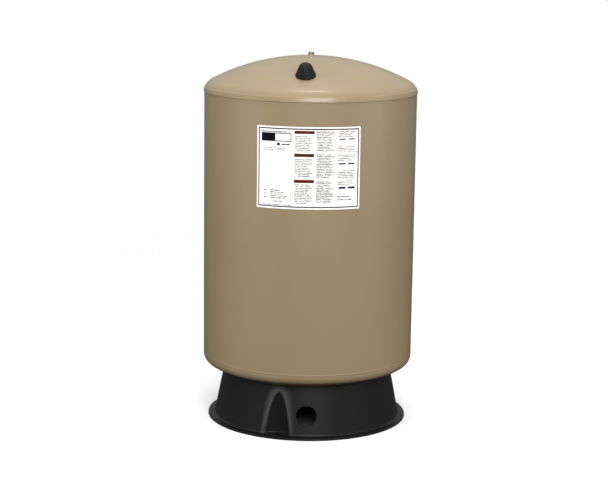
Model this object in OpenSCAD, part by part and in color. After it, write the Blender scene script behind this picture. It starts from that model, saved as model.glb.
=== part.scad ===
// Free-standing well pressure tank: a welded steel vessel with an air valve
// on its domed top, a rubber diaphragm and liner inside, an elbow for the
// pipe under its lower head, and a moulded stand with three scalloped feet.
// Millimetres, +Z up, the stand's underside at z = 0, the front towards -Y.

/* [Vessel] */
// Outer diameter of the cylindrical shell
tank_d = 610; // [520:1:680]
// Thickness of the steel sheet
sheet_t = 2; // [1.6:0.1:2.6]
// Straight height between the two heads' tangent lines
straight_h = 768; // [560:1:1000]
// Height of the lower head's tangent line above the floor
low_tangent_z = 187; // [182:1:240]
// Crown radius of the upper head
upper_crown_r = 613; // [540:1:740]
// Knuckle radius of the upper head
upper_knuckle_r = 36; // [28:1:60]
// Crown radius of the lower head
lower_crown_r = 696; // [640:1:840]
// Knuckle radius of the lower head
lower_knuckle_r = 25; // [20:1:40]

/* [Seams] */
// Height of the band where the upper head laps over the shell
lap_h = 13; // [10:0.5:20]
// Radial gap between the shell and the head's lap
lap_gap = 0.1; // [0.05:0.05:0.3]
// Radius of the joggle between the head's knuckle and its lap
joggle_r = 3; // [2:0.5:4]
// Height of the lower seam's weld above the tangent line
seam_rise = 6; // [4:0.5:12]
// Width of the weld bead at the outside of the sheet
bead_w = 6; // [4:0.5:8]
// Width of the weld bead at the inside of the sheet
bead_root = 1.2; // [0.8:0.1:2]
// How far the bead stands out of the shell
bead_crown = 0.65; // [0.3:0.05:1.2]

/* [Lifting nut] */
// Width across the flats of the welded nut on top
lift_nut_af = 15; // [13:0.5:20]
// Height of the welded nut
lift_nut_h = 10; // [8:0.5:14]
// Radius of the nut's threaded hole
lift_hole_r = 4.25; // [3:0.25:5]

/* [Air valve] */
// Distance of the valve's foot inside the shell's outside
valve_inset = 91.3; // [78:0.1:160]
// Turn of the valve round the tank from the front
valve_turn = -3.9; // [-30:0.1:30]
// Radius of the boss welded into the head
boss_r = 10; // [9:0.25:12]
// Height of the boss above the head
boss_h = 6; // [5:0.5:8]
// Depth of the boss below the head's outside
boss_depth = 8; // [6:0.5:10]
// Width across the flats of the valve's hexagon
valve_hex_af = 19; // [17:0.5:22]
// Height of the valve's hexagon
valve_hex_h = 6; // [5:0.5:8]
// Radius of the valve's lower shank
shank_r = 6; // [5.4:0.1:7]
// Radius of the valve's threaded neck
neck_r = 3.85; // [3.5:0.05:4.2]
// Height of the threaded neck above the hexagon
neck_h = 13; // [12:0.5:16]
// Radius of the chamber for the valve core
chamber_r = 2.7; // [2.5:0.05:2.8]
// Radius of the core's pin
pin_r = 0.8; // [0.6:0.05:1]
// How far the pin can be pressed
pin_travel = 1.5; // [1:0.1:2]
// Outer radius of the screwed valve cap
cap_r = 6; // [5.4:0.1:7]
// Thickness of the valve cap's top
cap_top_t = 1.7; // [1.5:0.1:2.5]
// Length of thread that the valve cap unscrews along
cap_travel = 6.5; // [5:0.5:8]

/* [Valve cover] */
// Outer diameter of the black cover over the valve
cover_d = 57; // [50:1:64]
// Height of the straight rim at the cover's foot
cover_rim_h = 3; // [2:0.5:5]
// Lean of the cover's side from its axis, in degrees
cover_lean = 22; // [18:0.5:24]
// Radius of the cover's rounded top
cover_top_r = 14; // [10:0.5:15]
// Room inside the cover above the unscrewed cap
cover_room = 0.6; // [0.5:0.1:4]
// Height of the grip that holds the cover on the valve's hexagon
grip_h = 13; // [9:0.5:14]
// Gap between the cover's rim and the head
cover_seat_gap = 0.25; // [0.2:0.05:0.4]
// Wall thickness of the cover
cover_t = 2; // [1.6:0.1:2.4]
// Thickness of the cover's inner webs and grip
web_t = 1.6; // [1.2:0.1:2]

/* [Diaphragm and liner] */
// Height of the clench ring's middle above the lower tangent line
clench_rise = 380; // [240:1:500]
// Height of the clench ring
clench_h = 26; // [20:1:34]
// Thickness of the clench ring
clench_t = 2.5; // [2:0.1:3]
// Wall thickness of the plastic liner
liner_t = 1.5; // [1:0.1:2]
// Wall thickness of the rubber diaphragm
diaphragm_t = 2.5; // [2:0.1:3.5]
// Thickness of the diaphragm's rim bead
rim_bead_t = 6; // [5:0.5:7]

/* [Water connection] */
// Radius of the fitting's neck through the lower head
spout_r = 20; // [18:0.5:23]
// Radius of the fitting's bore
spout_bore_r = 15; // [12:0.5:17]
// Radius of the fitting's flange inside the tank
spout_flange_r = 38; // [32:0.5:46]
// Thickness of the fitting's flange
spout_flange_t = 3; // [2:0.5:4]
// Width across the flats of the locknut
locknut_af = 58; // [54:1:66]
// Thickness of the locknut
locknut_t = 7; // [6:0.5:8]
// Thickness of the seal under the lower head
seal_t = 2.5; // [2:0.1:3]
// Drop from the lower head's lowest point to the pipe's axis
pipe_drop = 37; // [36:0.5:40]
// Outer radius of the elbow's body
elbow_r = 23.5; // [22:0.5:25]
// Radius of the elbow's collar at its mouth
collar_r = 27; // [25.5:0.5:29]
// Length of the collar
collar_l = 20; // [16:1:26]
// Distance from the tank's axis to the elbow's mouth
mouth_reach = 76; // [64:1:90]
// Radius of the pipe thread in the elbow's mouth
thread_r = 19.5; // [18:0.25:20.5]
// Length of the pipe thread in the elbow's mouth
thread_l = 22; // [18:1:26]

/* [Stand] */
// Distance of the stand's outer rim inside the shell's outside
rim_inset = 14.7; // [10:0.1:30]
// Width of the flange round the stand's foot
flange_w = 19; // [15:0.5:24]
// Thickness of the foot flange
flange_t = 6; // [5:0.5:8]
// Radius of the blend between flange and wall
flange_blend_r = 7; // [5:0.5:9]
// Radius of the flange's rounded outer edge
flange_edge_r = 2.5; // [1:0.5:4]
// Lean of the stand's wall from the vertical, in degrees
wall_lean = 11; // [8:0.5:13]
// Thickness of the stand's wall
stand_t = 4; // [3:0.5:5]
// Radial width of the seat under the lower head
seat_w = 20; // [14:1:26]
// Thickness of the seat under the lower head
seat_t = 5; // [4:0.5:6]
// Gap between the stand's seat and the lower head
seat_gap = 0.2; // [0.1:0.05:0.4]
// Number of scallops in the stand
scallop_count = 3; // [2:1:4]
// Turn of the first scallop round the tank from the front
scallop_turn = -18.2; // [-30:0.1:-16]
// Radius of each scallop
scallop_r = 50; // [42:0.5:56]
// Depth of each scallop at the foot of the wall
scallop_depth = 24; // [20:0.5:27]
// Radius of the anchor holes in the scallops' floors
anchor_r = 6.5; // [5:0.25:7.5]
// Radius of the pipe hole in the front of the stand
pipe_hole_r = 29; // [24:0.5:31]
// Turn of each stiffening rib from the nearest scallop
rib_turn = 41.3; // [34:0.1:48]
// Thickness of the stiffening ribs
rib_t = 3.5; // [3:0.5:5]
// Depth of the stiffening ribs
rib_depth = 18; // [12:1:19]

/* [Label] */
// Width of the label round the shell
label_w = 292; // [200:1:330]
// Height of the label
label_h = 226; // [150:1:260]
// Height of the label's middle below the lap band's lower edge
label_drop = 179; // [150:1:260]
// Turn of the label round the tank from the front
label_turn = -0.7; // [-30:0.1:30]
// Thickness of the label
label_t = 0.2; // [0.15:0.05:0.3]

/* [Hidden] */
$fn = 96;

enamel = [0.60, 0.53, 0.42];
black_plastic = [0.11, 0.11, 0.12];
brass = [0.78, 0.63, 0.30];
steel = [0.62, 0.62, 0.60];
rubber = [0.07, 0.07, 0.07];

// A face that stands off another by this much neither touches nor shows a gap
fit = 0.05;
eps = 0.01;

tank_r = tank_d / 2;
high_tangent_z = low_tangent_z + straight_h;
lap_z = high_tangent_z;
lap_r = tank_r + lap_gap + sheet_t;
seam_z = low_tangent_z + seam_rise;

// Distance from a head's tangent plane back to its crown's centre
function crown_back(r, crown, knuckle) = sqrt(pow(crown - knuckle, 2) - pow(r - knuckle, 2));

upper_centre_z = high_tangent_z - crown_back(tank_r, upper_crown_r, upper_knuckle_r);
apex_z = upper_centre_z + upper_crown_r;
lower_centre_z = low_tangent_z + crown_back(tank_r, lower_crown_r, lower_knuckle_r);
pole_z = lower_centre_z - lower_crown_r;

// Slice of a disc between two angles
module sector(r, from, to) {
    reach = 3 * r;
    intersection() {
        circle(r);
        polygon([[0, 0], reach * [cos(from), sin(from)], reach * [cos(to), sin(to)]]);
    }
}

// Half section of a domed head above its tangent line: crown arc, then knuckle arc
module head_area(r, crown, knuckle) {
    lean = asin((r - knuckle) / (crown - knuckle));
    reach = crown;
    intersection() {
        translate([0, -crown_back(r, crown, knuckle)]) circle(crown, $fn = 360);
        polygon([[0, 0], [r - knuckle, 0],
                 [r - knuckle + reach * sin(lean), reach * cos(lean)], [0, 2 * reach]]);
    }
    translate([r - knuckle, 0]) sector(knuckle, 0, 90);
}

// Head

module lap_blend_area() {
    band_top = lap_z + lap_h;
    arc_z = band_top + joggle_r;
    knuckle_x = tank_r - upper_knuckle_r;
    arc_x = knuckle_x + sqrt(pow(upper_knuckle_r + joggle_r, 2) - pow(arc_z - high_tangent_z, 2));
    difference() {
        polygon([[knuckle_x, high_tangent_z], [arc_x, band_top - joggle_r], [arc_x, arc_z]]);
        translate([arc_x, arc_z]) circle(joggle_r);
    }
}

module lap_band_area() {
    corner_r = sheet_t - fit;
    translate([0, lap_z]) {
        square([lap_r - corner_r, lap_h]);
        square([lap_r, lap_h - corner_r]);
        translate([lap_r - corner_r, lap_h - corner_r]) sector(corner_r, 0, 90);
    }
}

module upper_head() {
    color(enamel) difference() {
        rotate_extrude() difference() {
            union() {
                translate([0, high_tangent_z]) head_area(tank_r, upper_crown_r, upper_knuckle_r);
                lap_band_area();
                lap_blend_area();
            }
            translate([0, high_tangent_z])
                head_area(tank_r - sheet_t, upper_crown_r - sheet_t, upper_knuckle_r - sheet_t);
            translate([0, lap_z - 1]) square([tank_r + lap_gap, lap_h - sheet_t + 1]);
        }
        at_valve() translate([0, 0, -boss_depth]) cylinder(r = boss_r + fit, h = boss_depth + boss_h);
    }
}

// The shell's two bevelled edges leave the groove that the weld fills

module shell() {
    inner_r = tank_r - sheet_t;
    color(enamel) rotate_extrude()
        polygon([[inner_r, seam_z + bead_root / 2], [tank_r, seam_z + bead_w / 2],
                 [tank_r, lap_z + lap_h - sheet_t - 1], [inner_r, lap_z + lap_h - sheet_t - 1]]);
}

module lower_head() {
    inner_r = tank_r - sheet_t;
    color(enamel) rotate_extrude() difference() {
        union() {
            translate([0, low_tangent_z]) mirror([0, 1])
                head_area(tank_r, lower_crown_r, lower_knuckle_r);
            polygon([[0, low_tangent_z], [tank_r, low_tangent_z],
                     [tank_r, seam_z - bead_w / 2], [inner_r, seam_z - bead_root / 2],
                     [0, seam_z - bead_root / 2]]);
        }
        translate([0, low_tangent_z]) mirror([0, 1])
            head_area(inner_r, lower_crown_r - sheet_t, lower_knuckle_r - sheet_t);
        translate([0, low_tangent_z]) square([inner_r, seam_rise + 1]);
        translate([0, pole_z - 1]) square([spout_r + fit, 2 * sheet_t + 2]);
    }
}

module seam_weld() {
    inner_r = tank_r - sheet_t;
    crown_arc_r = (pow(bead_w / 2, 2) + pow(bead_crown, 2)) / (2 * bead_crown);
    color(enamel) rotate_extrude() {
        polygon([[inner_r, seam_z - bead_root / 2 + fit], [tank_r, seam_z - bead_w / 2 + fit],
                 [tank_r, seam_z + bead_w / 2 - fit], [inner_r, seam_z + bead_root / 2 - fit]]);
        intersection() {
            translate([tank_r + bead_crown - crown_arc_r, seam_z]) circle(crown_arc_r);
            translate([tank_r, seam_z - bead_w / 2 + fit]) square([bead_crown, bead_w - 2 * fit]);
        }
    }
}

module lifting_nut() {
    color(steel) translate([0, 0, apex_z + eps]) difference() {
        cylinder(r = lift_nut_af / 2 / cos(30), h = lift_nut_h, $fn = 6);
        translate([0, 0, -1]) cylinder(r = lift_hole_r, h = lift_nut_h + 2);
    }
}

// Air valve. Its parts stand on the head's outside, along a line from the crown's centre

valve_tilt = asin((tank_r - valve_inset) / upper_crown_r);

module at_valve() {
    translate([0, 0, upper_centre_z]) rotate([0, 0, valve_turn]) rotate([valve_tilt, 0, 0])
        translate([0, 0, upper_crown_r]) children();
}

valve_shoulder = boss_h + fit;
neck_z = valve_shoulder + valve_hex_h;
neck_top = neck_z + neck_h;
barrel_z = neck_z + 2;
barrel_h = neck_h / 2;
barrel_top = barrel_z + barrel_h;
barrel_r = chamber_r - 0.1;
washer_z = barrel_z - 3;
washer_r = barrel_r - 0.75;
seal_gap = 0.1;
core_seal_t = 1;
core_seal_z = washer_z - seal_gap - core_seal_t;
chamber_z = core_seal_z - pin_travel - 2;
pin_head_t = 0.8;
pin_top = neck_top - 0.3;
cap_z = neck_z + 0.3;
cap_seal_r = 0.5;
cap_roof = neck_top + 2 * cap_seal_r;
cover_h = cap_roof + cap_top_t + cap_travel + cover_room + cover_t;

module valve_boss() {
    color(steel) at_valve() difference() {
        union() {
            translate([0, 0, -boss_depth]) cylinder(r = boss_r, h = boss_depth + boss_h);
            translate([0, 0, fit]) cylinder(r1 = boss_r + 3, r2 = boss_r, h = 3);
        }
        translate([0, 0, -boss_depth - 1]) cylinder(r = shank_r + fit, h = boss_depth + boss_h + 2);
    }
}

module valve_body() {
    color(brass) at_valve() difference() {
        union() {
            translate([0, 0, -boss_depth]) cylinder(r = shank_r, h = boss_depth + neck_z - 1);
            translate([0, 0, valve_shoulder])
                cylinder(r = valve_hex_af / 2 / cos(30), h = valve_hex_h, $fn = 6);
            translate([0, 0, neck_z - 1]) cylinder(r = neck_r, h = neck_h + 1);
        }
        translate([0, 0, chamber_z]) cylinder(r = chamber_r, h = neck_top);
        translate([0, 0, -boss_depth - 1]) cylinder(r = chamber_r - 0.9, h = neck_top);
    }
}

module core_barrel() {
    color(brass) at_valve() difference() {
        union() {
            translate([0, 0, barrel_z]) cylinder(r = barrel_r, h = barrel_h);
            translate([0, 0, washer_z]) cylinder(r = washer_r, h = barrel_h);
        }
        translate([0, 0, washer_z - 1]) cylinder(r = pin_r + 0.25, h = barrel_h + 6);
    }
}

module core_washer() {
    color("white") at_valve() translate([0, 0, washer_z + 0.5]) difference() {
        cylinder(r = chamber_r - fit, h = 2.4);
        translate([0, 0, -1]) cylinder(r = washer_r + fit, h = 5);
    }
}

module core_spring() {
    color(steel) at_valve() translate([0, 0, barrel_top + fit]) difference() {
        cylinder(r = pin_r + 0.9, h = pin_top - pin_head_t - barrel_top - 2 * fit);
        translate([0, 0, -1]) cylinder(r = pin_r + 0.3, h = neck_h);
    }
}

module core_pin() {
    color(brass) at_valve() {
        translate([0, 0, core_seal_z - 1]) cylinder(r = pin_r, h = pin_top - core_seal_z + 1);
        translate([0, 0, pin_top - pin_head_t]) cylinder(r = pin_r + 1, h = pin_head_t);
        translate([0, 0, core_seal_z - 1]) cylinder(r = washer_r - 0.2, h = 1 - eps);
    }
}

module core_seal() {
    color(rubber) at_valve() translate([0, 0, core_seal_z]) difference() {
        cylinder(r = washer_r - 0.1, h = core_seal_t);
        translate([0, 0, -1]) cylinder(r = pin_r + fit, h = core_seal_t + 2);
    }
}

module valve_cap() {
    flutes = 24;
    flute_r = 0.5;
    color(brass) at_valve() difference() {
        translate([0, 0, cap_z]) cylinder(r = cap_r, h = cap_roof + cap_top_t - cap_z);
        translate([0, 0, cap_z - 1]) cylinder(r = neck_r + 0.1, h = cap_roof - cap_z + 1);
        for (k = [0 : flutes - 1]) rotate([0, 0, k * 360 / flutes])
            translate([cap_r + flute_r / 2, 0, cap_z - 1])
                cylinder(r = flute_r, h = cap_roof - cap_z, $fn = 16);
    }
}

module cap_seal() {
    color(rubber) at_valve() translate([0, 0, neck_top + cap_seal_r])
        rotate_extrude() translate([neck_r - cap_seal_r - fit, 0]) circle(cap_seal_r - fit / 2, $fn = 24);
}

// Half section of the cover's outside, shrunk inwards by a wall
module cover_area(inset) {
    base_r = cover_d / 2 - inset;
    arc_z = cover_h - cover_top_r;
    arc_r = cover_top_r - inset;
    arc_x = cover_d / 2 - (cover_top_r + (arc_z - cover_rim_h) * sin(cover_lean)) / cos(cover_lean);
    polygon([[0, -1], [base_r, -1], [base_r, cover_rim_h - inset * tan(cover_lean / 2)],
             [arc_x + arc_r * cos(cover_lean), arc_z + arc_r * sin(cover_lean)],
             [arc_x, arc_z], [arc_x, cover_h - inset], [0, cover_h - inset]]);
    translate([arc_x, arc_z]) sector(arc_r, 0, 90);
}

module valve_cover() {
    hex_r = valve_hex_af / 2 / cos(30);
    grip_r = hex_r + 0.15;
    grip_z = valve_shoulder + 0.5;
    head_r = upper_crown_r + cover_seat_gap;
    color(black_plastic) at_valve() {
        rotate_extrude() difference() {
            cover_area(0);
            cover_area(cover_t);
            translate([0, -upper_crown_r]) circle(head_r, $fn = 360);
        }
        intersection() {
            rotate_extrude() cover_area(cover_t / 2);
            translate([0, 0, grip_z]) linear_extrude(grip_h) difference() {
                union() {
                    circle(grip_r + web_t);
                    for (turn = [45, 135]) rotate(turn) square([cover_d, web_t], center = true);
                }
                circle(grip_r);
            }
        }
    }
}

// Diaphragm and liner. The liner lies on the steel, the diaphragm on the liner

shell_in_r = tank_r - sheet_t;
liner_gap = 0.3;
liner_r = shell_in_r - liner_gap;
liner_in_r = liner_r - liner_t;
diaphragm_r = liner_in_r - liner_gap;
diaphragm_in_r = diaphragm_r - diaphragm_t;
clench_z = low_tangent_z + clench_rise;
liner_offset = sheet_t + liner_gap;

// Height of the liner's inside above the pole, at a radius
function liner_floor_z(r) = lower_centre_z
    - sqrt(pow(lower_crown_r - liner_offset - liner_t, 2) - r * r);

flange_z = liner_floor_z(spout_flange_r) + fit;
flange_top = flange_z + spout_flange_t;

// Crown radius of a head of a given depth
function crown_for(r, depth, knuckle) = (pow(depth, 2) - pow(knuckle, 2) + pow(r - knuckle, 2))
    / (2 * (depth - knuckle));

// Half section of a cup with a domed floor and a straight wall up to a height
module cup_area(r, crown, knuckle, top) {
    translate([0, low_tangent_z]) {
        mirror([0, 1]) head_area(r, crown, knuckle);
        square([r, top - low_tangent_z]);
    }
}

module liner() {
    knuckle = lower_knuckle_r - liner_offset;
    crown = lower_crown_r - liner_offset;
    color([0.75, 0.78, 0.80]) rotate_extrude() difference() {
        cup_area(liner_r, crown, knuckle, clench_z);
        cup_area(liner_in_r, crown - liner_t, knuckle - liner_t, clench_z + 1);
        translate([0, pole_z]) square([spout_r + fit, seam_rise]);
    }
}

module diaphragm() {
    depth = low_tangent_z - flange_top - liner_gap;
    knuckle = lower_knuckle_r - liner_offset - liner_t - liner_gap;
    in_knuckle = knuckle - diaphragm_t;
    bead_z = clench_z + fit;
    bead_corner = rim_bead_t / 4;
    color(rubber) rotate_extrude() difference() {
        union() {
            cup_area(diaphragm_r, crown_for(diaphragm_r, depth, knuckle), knuckle, clench_z + rim_bead_t);
            translate([diaphragm_in_r, bead_z]) square([liner_r - diaphragm_in_r, rim_bead_t - bead_corner]);
            translate([diaphragm_in_r, bead_z])
                square([liner_r - diaphragm_in_r - bead_corner, rim_bead_t]);
            translate([liner_r - bead_corner, bead_z + rim_bead_t - bead_corner])
                sector(bead_corner, 0, 90);
        }
        cup_area(diaphragm_in_r, crown_for(diaphragm_in_r, depth - diaphragm_t, in_knuckle), in_knuckle,
                 clench_z + 2 * rim_bead_t);
    }
}

module clench_ring() {
    out_r = diaphragm_in_r - fit;
    hook_z = clench_z + rim_bead_t + liner_gap;
    color(steel) rotate_extrude() {
        translate([out_r - clench_t, clench_z - clench_h / 2])
            square([clench_t, hook_z + clench_t - clench_z + clench_h / 2]);
        translate([out_r - clench_t, hook_z]) square([liner_r - out_r + clench_t, clench_t]);
    }
}

// Water connection

seal_z = pole_z - fit - seal_t;
locknut_z = seal_z - locknut_t;
elbow_top = locknut_z - fit;
pipe_z = pole_z - pipe_drop;
socket_l = 14;
spout_end_z = elbow_top - socket_l;

module inlet_spout() {
    color("silver") difference() {
        union() {
            translate([0, 0, spout_end_z + fit]) cylinder(r = spout_r, h = flange_top - spout_end_z - fit);
            translate([0, 0, flange_z]) cylinder(r = spout_flange_r, h = spout_flange_t);
        }
        translate([0, 0, spout_end_z - 1]) cylinder(r = spout_bore_r, h = flange_top - spout_end_z + 2);
    }
}

module inlet_seal() {
    color(rubber) translate([0, 0, seal_z]) difference() {
        cylinder(r = locknut_af / 2, h = seal_t);
        translate([0, 0, -1]) cylinder(r = spout_r + fit, h = seal_t + 2);
    }
}

module inlet_locknut() {
    color("silver") translate([0, 0, locknut_z]) difference() {
        cylinder(r = locknut_af / 2 / cos(30), h = locknut_t - fit, $fn = 6);
        translate([0, 0, -1]) cylinder(r = spout_r + fit, h = locknut_t + 2);
    }
}

module inlet_elbow() {
    socket_z = elbow_top - socket_l - 5;
    color("silver") difference() {
        union() {
            translate([0, 0, pipe_z]) sphere(elbow_r + 1);
            translate([0, 0, pipe_z]) rotate([90, 0, 0]) cylinder(r = elbow_r, h = mouth_reach);
            translate([0, collar_l - mouth_reach, pipe_z]) rotate([90, 0, 0])
                cylinder(r = collar_r, h = collar_l);
            translate([0, 0, socket_z]) cylinder(r = collar_r, h = elbow_top - socket_z);
        }
        translate([0, 0, pipe_z]) cylinder(r = spout_bore_r, h = elbow_top - pipe_z + 1);
        translate([0, 0, spout_end_z]) cylinder(r = spout_r + fit, h = socket_l + 1);
        translate([0, 0, pipe_z]) rotate([90, 0, 0]) cylinder(r = spout_bore_r - 0.5, h = mouth_reach);
        translate([0, thread_l - mouth_reach, pipe_z]) rotate([90, 0, 0])
            cylinder(r = thread_r, h = thread_l + 1);
    }
}

// Stand. Its wall leans in towards the lower head, and each scallop is an
// upright round pocket, so its mouth narrows to a point as the wall leans away

rim_r = tank_r - rim_inset;
wall_foot_r = rim_r - flange_w;
seat_r = lower_crown_r + seat_gap;
seat_fn = 360;
scallop_ring_r = wall_foot_r + scallop_r - scallop_depth;
anchor_ring_r = (wall_foot_r - scallop_depth + rim_r) / 2;

// Outer radius of the stand's wall at a height
function wall_r(z) = wall_foot_r - (z - flange_t) * tan(wall_lean);

// Half section of the room under the lower head, inside the wall's outside.
// It is set in from the wall, and kept under the seat's top, by given amounts
module stand_area(inset = 0, under = 0) {
    top_z = low_tangent_z;
    difference() {
        polygon([[0, 0], [wall_r(0) - inset, 0], [wall_r(top_z) - inset, top_z], [0, top_z]]);
        translate([0, lower_centre_z]) circle(seat_r + under, $fn = seat_fn);
    }
}

module flange_area() {
    square([rim_r - flange_edge_r, flange_t]);
    square([rim_r, flange_t - flange_edge_r]);
    translate([rim_r - flange_edge_r, flange_t - flange_edge_r]) sector(flange_edge_r, 0, 90);
}

module flange_blend_area() {
    arc_x = wall_foot_r + flange_blend_r * (1 - sin(wall_lean)) / cos(wall_lean);
    arc_z = flange_t + flange_blend_r;
    foot = [arc_x - flange_blend_r * cos(wall_lean), arc_z - flange_blend_r * sin(wall_lean)];
    difference() {
        polygon([[wall_foot_r - 2, flange_t - 1], [arc_x, flange_t - 1], [arc_x, arc_z],
                 foot, [foot[0] - 2, foot[1]]]);
        translate([arc_x, arc_z]) circle(flange_blend_r);
    }
}

// Half section of the seat, a rim turned inwards that follows the lower head
module seat_area() {
    intersection() {
        stand_area(stand_t / 2);
        difference() {
            translate([0, lower_centre_z]) circle(seat_r + seat_t, $fn = seat_fn);
            square([wall_r(low_tangent_z - lower_knuckle_r) - stand_t - seat_w, low_tangent_z]);
        }
    }
}

module rib() {
    rotate([90, 0, 0]) linear_extrude(height = rib_t, center = true) difference() {
        stand_area(stand_t / 2, seat_t / 2);
        stand_area(stand_t + rib_depth);
    }
}

// Half section of the wall with its foot flange and seat
module stand_section() {
    inset = stand_t / cos(wall_lean);
    difference() {
        union() {
            stand_area();
            flange_area();
            flange_blend_area();
        }
        polygon([[0, -1], [wall_r(-1) - inset, -1],
                 [wall_r(low_tangent_z) - inset, low_tangent_z], [0, low_tangent_z]]);
    }
    seat_area();
}

module at_scallops(turn = 0) {
    for (k = [0 : scallop_count - 1])
        rotate([0, 0, scallop_turn + turn + k * 360 / scallop_count]) children();
}

module stand() {
    color(black_plastic) difference() {
        union() {
            rotate_extrude() stand_section();
            intersection() {
                rotate_extrude() stand_area(stand_t / 2, seat_t / 2);
                at_scallops() translate([0, -scallop_ring_r, 0])
                    cylinder(r = scallop_r + stand_t, h = low_tangent_z);
            }
            for (side = [-1, 1]) at_scallops(side * rib_turn) rotate([0, 0, -90]) rib();
        }
        at_scallops() translate([0, -scallop_ring_r, flange_t]) cylinder(r = scallop_r, h = low_tangent_z);
        at_scallops() translate([0, -anchor_ring_r, -1]) cylinder(r = anchor_r, h = flange_t + 2);
        translate([0, -mouth_reach - collar_l, pipe_z]) rotate([90, 0, 0])
            cylinder(r = pipe_hole_r, h = rim_r);
    }
}

// Label

module label() {
    turn = label_w / tank_r * 180 / PI;
    color("white") rotate([0, 0, label_turn - 90 - turn / 2])
        rotate_extrude(angle = turn, $fn = 360)
            translate([tank_r + fit, lap_z - label_drop - label_h / 2]) square([label_t, label_h]);
}

upper_head();
shell();
lower_head();
seam_weld();
lifting_nut();
valve_boss();
valve_body();
core_barrel();
core_washer();
core_spring();
core_pin();
core_seal();
valve_cap();
cap_seal();
valve_cover();
clench_ring();
diaphragm();
liner();
inlet_spout();
inlet_seal();
inlet_locknut();
inlet_elbow();
stand();
label();
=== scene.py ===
# %% [markdown]
# # A well pressure tank, dressed round its CAD model
#
# The CAD model is the fixed frame: it says where every part is and what moves.
# This notebook gives the tank its enamel, the stand its moulded pockets, the
# valve its threads, and sets the camera where the photographer stood.

from math import acos, asin, atan, atan2, ceil, cos, degrees, hypot, pi, radians, sin, sqrt, tan

import bmesh
import bpy
from mathutils import Matrix, Vector


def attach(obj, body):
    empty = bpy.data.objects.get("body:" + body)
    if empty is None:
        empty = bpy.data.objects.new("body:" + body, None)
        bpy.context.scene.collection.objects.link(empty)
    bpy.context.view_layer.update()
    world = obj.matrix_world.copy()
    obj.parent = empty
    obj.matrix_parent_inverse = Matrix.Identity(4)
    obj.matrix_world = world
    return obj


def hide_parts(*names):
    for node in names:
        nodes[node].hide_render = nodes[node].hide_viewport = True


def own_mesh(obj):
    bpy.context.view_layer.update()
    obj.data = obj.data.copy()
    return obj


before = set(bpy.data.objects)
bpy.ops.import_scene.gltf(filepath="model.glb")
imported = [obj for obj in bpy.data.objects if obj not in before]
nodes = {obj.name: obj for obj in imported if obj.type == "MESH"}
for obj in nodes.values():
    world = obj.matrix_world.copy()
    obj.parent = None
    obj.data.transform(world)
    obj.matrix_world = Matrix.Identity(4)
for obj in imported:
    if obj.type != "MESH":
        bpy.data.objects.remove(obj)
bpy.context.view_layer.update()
scene = bpy.context.scene

# %% [markdown]
# ## The camera
#
# One camera was fitted to the tank's outline, its two seams and the stand's
# rim in the photograph. It stands almost five metres away and 40 cm above the
# tank's top, with a lens of about 100 mm. It is turned a hair to the left and
# rolled a little, because the photographed tank leans to the right.

# %% Camera
PHOTO_WIDTH, SENSOR_WIDTH = 608, 36.0
FOCAL_PIXELS, CENTRE_OFFSET_PIXELS = 1719.6, 4.7
CAMERA_PLACE = (0.0, -4.928, 1.462)
PITCH, ROLL = 0.1912, 0.0135
YAW = CENTRE_OFFSET_PIXELS / FOCAL_PIXELS

camera_data = bpy.data.cameras.new("camera")
camera_data.sensor_width = SENSOR_WIDTH
camera_data.lens = FOCAL_PIXELS / PHOTO_WIDTH * SENSOR_WIDTH
camera_data.clip_start, camera_data.clip_end = 0.1, 100.0

camera = bpy.data.objects.new("camera", camera_data)
scene.collection.objects.link(camera)
camera.matrix_world = (
    Matrix.Translation(CAMERA_PLACE)
    @ Matrix.Rotation(YAW, 4, "Z")
    @ Matrix.Rotation(pi / 2 - PITCH, 4, "X")
    @ Matrix.Rotation(ROLL, 4, "Z")
)
scene.camera = camera
scene.view_settings.view_transform = "Standard"
print(f"camera: lens {camera_data.lens:.1f} mm, pitch {degrees(PITCH):.1f} degrees")

# %% [markdown]
# ## Sizes
#
# These repeat the CAD source's own values, in millimetres. Each profile below
# is drawn in them, and turned into metres when it becomes a mesh.

# %% Sizes of the vessel
MM = 0.001
TANK_R, SHEET = 305.0, 2.0
LOW_TANGENT = 187.0
HIGH_TANGENT = LOW_TANGENT + 768.0
UPPER_CROWN, UPPER_KNUCKLE = 613.0, 36.0
LOWER_CROWN, LOWER_KNUCKLE = 696.0, 25.0
LAP_GAP, LAP_H, JOGGLE = 0.1, 13.0, 3.0
LAP_IN = TANK_R + LAP_GAP
LAP_R = LAP_IN + SHEET
SEAM_Z = LOW_TANGENT + 6.0


def crown_back(crown, knuckle):
    """Distance from a head's tangent plane back to its crown's centre."""
    return sqrt((crown - knuckle) ** 2 - (TANK_R - knuckle) ** 2)


UPPER_CENTRE = HIGH_TANGENT - crown_back(UPPER_CROWN, UPPER_KNUCKLE)
LOWER_CENTRE = LOW_TANGENT + crown_back(LOWER_CROWN, LOWER_KNUCKLE)
APEX = UPPER_CENTRE + UPPER_CROWN
POLE = LOWER_CENTRE - LOWER_CROWN
print(f"vessel: apex {APEX:.1f} mm, lowest point {POLE:.1f} mm")

# %% [markdown]
# ## Tools of the workshop
#
# Most of this object is turned: heads, shell, stand, nuts and threads. Such a
# piece could be a cylinder that is cut and scaled, but a half section that is
# spun round an axis is how the real one is drawn. The first helpers put a
# section together from arcs and lines.

# %% Arcs, lines and sections
def arc(x, z, radius, start, end, steps):
    """Points of an arc in the section plane, with angles in degrees."""
    turns = [radians(start + (end - start) * k / steps) for k in range(steps + 1)]
    return [(x + radius * cos(t), z + radius * sin(t)) for t in turns]


def line(start, end, steps):
    """Points from start to end, both included."""
    return [(start[0] + (end[0] - start[0]) * k / steps,
             start[1] + (end[1] - start[1]) * k / steps) for k in range(steps + 1)]


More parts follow.
